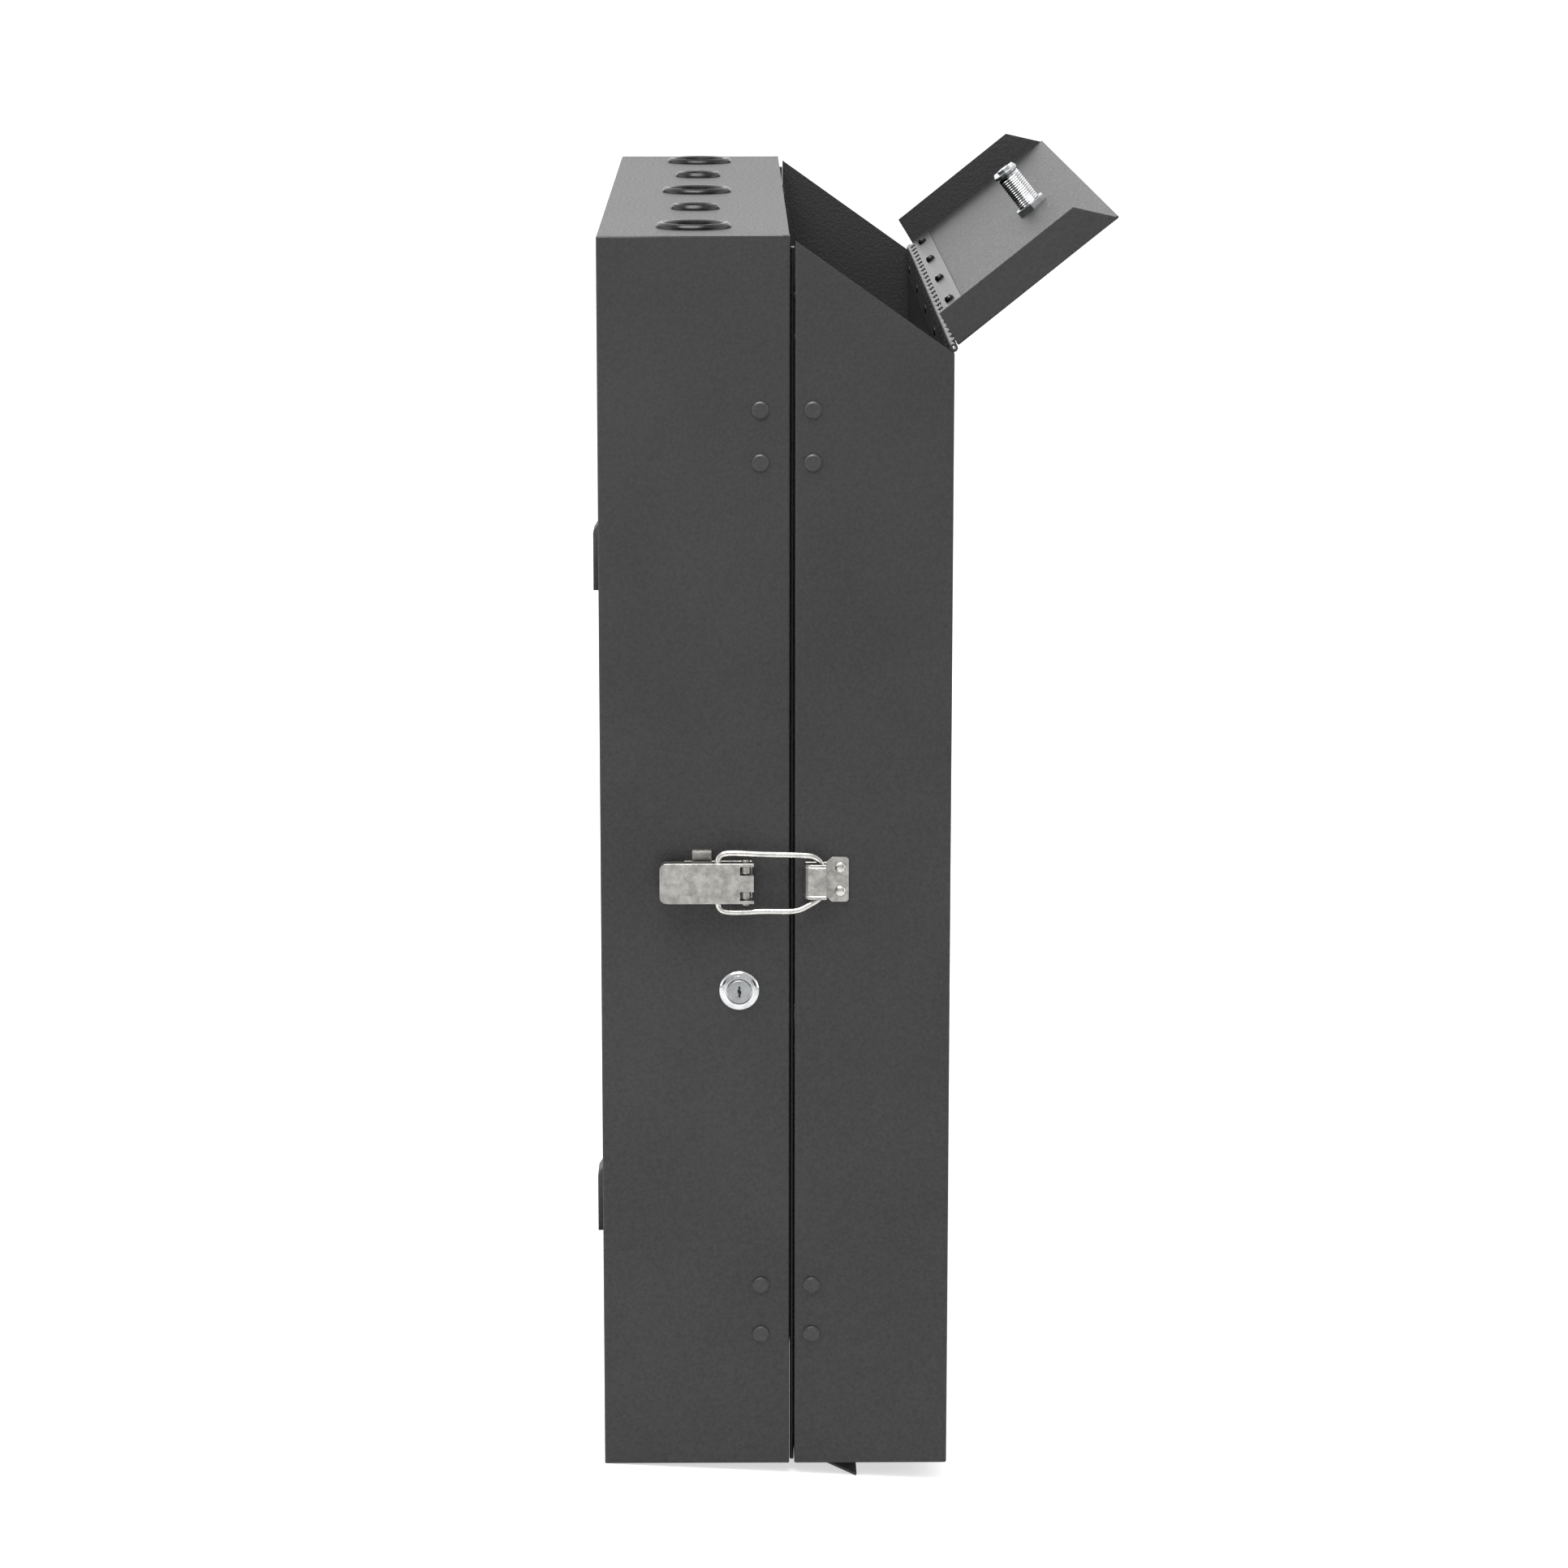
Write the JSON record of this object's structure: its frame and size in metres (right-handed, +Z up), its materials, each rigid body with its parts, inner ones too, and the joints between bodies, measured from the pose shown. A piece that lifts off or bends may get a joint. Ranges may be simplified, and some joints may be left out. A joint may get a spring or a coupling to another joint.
{
  "type": "wall-mounted lockbox cabinet",
  "caption": "Slim sheet-steel wall lockbox that opens like a book, with a sloped lockable hatch, draw latch, side cam lock and cable bushings in its top.",
  "frame": {"origin": "centre of the rear tray's underside", "axes": "+Z up, -Y the front with the cover, +Y the wall side, -X the side with the latch and lock"},
  "size_m": [0.6756, 0.299, 0.7507],
  "materials": {
    "textured_powder_coat": "fine-textured satin powder coat on sheet steel",
    "painted_hardware": "powder-coated steel hinges and rivets",
    "nickel_plate": "nickel plate, slightly mottled",
    "chrome_plate": "bright chrome",
    "zinc_plate": "bright zinc plate",
    "black_nylon": "moulded nylon, semi-gloss"
  },
  "bodies": {
    "rear_half": {"rear_tray": "textured_powder_coat", "cable_bushing_1": "black_nylon", "cable_bushing_2": "black_nylon", "cable_bushing_3": "black_nylon", "cable_bushing_4": "black_nylon", "cable_bushing_5": "black_nylon", "latch_base": "nickel_plate", "latch_base_rivet_1": "nickel_plate", "latch_base_rivet_2": "nickel_plate", "latch_pin": "nickel_plate", "side_lock_body": "chrome_plate", "side_lock_nut": "zinc_plate", "hinge_leaf_tray_lower": "painted_hardware", "hinge_leaf_tray_upper": "painted_hardware", "hinge_pin_lower": "zinc_plate", "hinge_pin_upper": "zinc_plate", "filler_plate_tray_lower": "zinc_plate", "filler_plate_tray_upper": "zinc_plate", "rivet_tray_hinge_1": "painted_hardware", "rivet_tray_hinge_2": "painted_hardware", "rivet_tray_hinge_3": "painted_hardware", "rivet_tray_hinge_4": "painted_hardware", "rivet_tray_latch_1": "painted_hardware", "rivet_tray_latch_2": "painted_hardware", "rivet_tray_latch_3": "painted_hardware", "rivet_tray_latch_4": "painted_hardware"},
    "front_half": {"front_cover": "textured_powder_coat", "lock_striker": "zinc_plate", "hatch_leaf_cover": "painted_hardware", "hatch_pin": "painted_hardware", "latch_catch": "nickel_plate", "catch_rivet_1": "nickel_plate", "catch_rivet_2": "nickel_plate", "hinge_leaf_cover_lower": "painted_hardware", "hinge_leaf_cover_upper": "painted_hardware", "filler_plate_cover_lower": "zinc_plate", "filler_plate_cover_upper": "zinc_plate", "rivet_cover_hinge_1": "painted_hardware", "rivet_cover_hinge_2": "painted_hardware", "rivet_cover_hinge_3": "painted_hardware", "rivet_cover_hinge_4": "painted_hardware", "rivet_cover_latch_1": "painted_hardware", "rivet_cover_latch_2": "painted_hardware", "rivet_cover_latch_3": "painted_hardware", "rivet_cover_latch_4": "painted_hardware"},
    "hatch_lid": {"hatch_panel": "textured_powder_coat", "hatch_leaf_lid": "painted_hardware", "hatch_lock_body": "chrome_plate", "hatch_lock_nut": "zinc_plate"},
    "hatch_lock_core": {"hatch_lock_plug": "chrome_plate", "hatch_lock_cam": "zinc_plate", "hatch_lock_cam_screw": "zinc_plate"},
    "side_lock_core": {"side_lock_plug": "chrome_plate", "side_lock_cam": "zinc_plate", "side_lock_cam_screw": "zinc_plate"},
    "latch_lever": {"latch_lever": "nickel_plate"},
    "latch_bail": {"latch_bail": "nickel_plate"}
  },
  "joints": [
    {"name": "cover_swing", "type": "hinge", "parent": "rear_half", "child": "front_half", "pos_m": [0.3314, -0.056, 0], "axis": [0, 0, 1], "range_deg": [0, 120]},
    {"name": "hatch_hinge", "type": "hinge", "parent": "front_half", "child": "hatch_lid", "pos_m": [0, -0.1471, 0.6606], "axis": [1, 0, 0], "range_deg": [-106, 0]},
    {"name": "hatch_lock_turn", "type": "hinge", "parent": "hatch_lid", "child": "hatch_lock_core", "pos_m": [0, -0.21294, 0.71277], "axis": [0, 0.6248, 0.7808], "range_deg": [-90, 0]},
    {"name": "side_lock_turn", "type": "hinge", "parent": "rear_half", "child": "side_lock_core", "pos_m": [-0.328, -0.0254, 0.2883], "axis": [-1, 0, 0], "range_deg": [-90, 0]},
    {"name": "latch_lever_turn", "type": "hinge", "parent": "rear_half", "child": "latch_lever", "pos_m": [-0.3365, -0.0292, 0.3545], "axis": [0, 0, 1], "range_deg": [0, 60]},
    {"name": "latch_bail_turn", "type": "hinge", "parent": "latch_lever", "child": "latch_bail", "pos_m": [-0.3375, -0.0134, 0.3545], "axis": [0, 0, 1], "range_deg": [-46.8, 0]}
  ],
  "couplings": [
    {"joint": "latch_bail_turn", "follows": "latch_lever_turn", "ratio": -0.78}
  ]
}
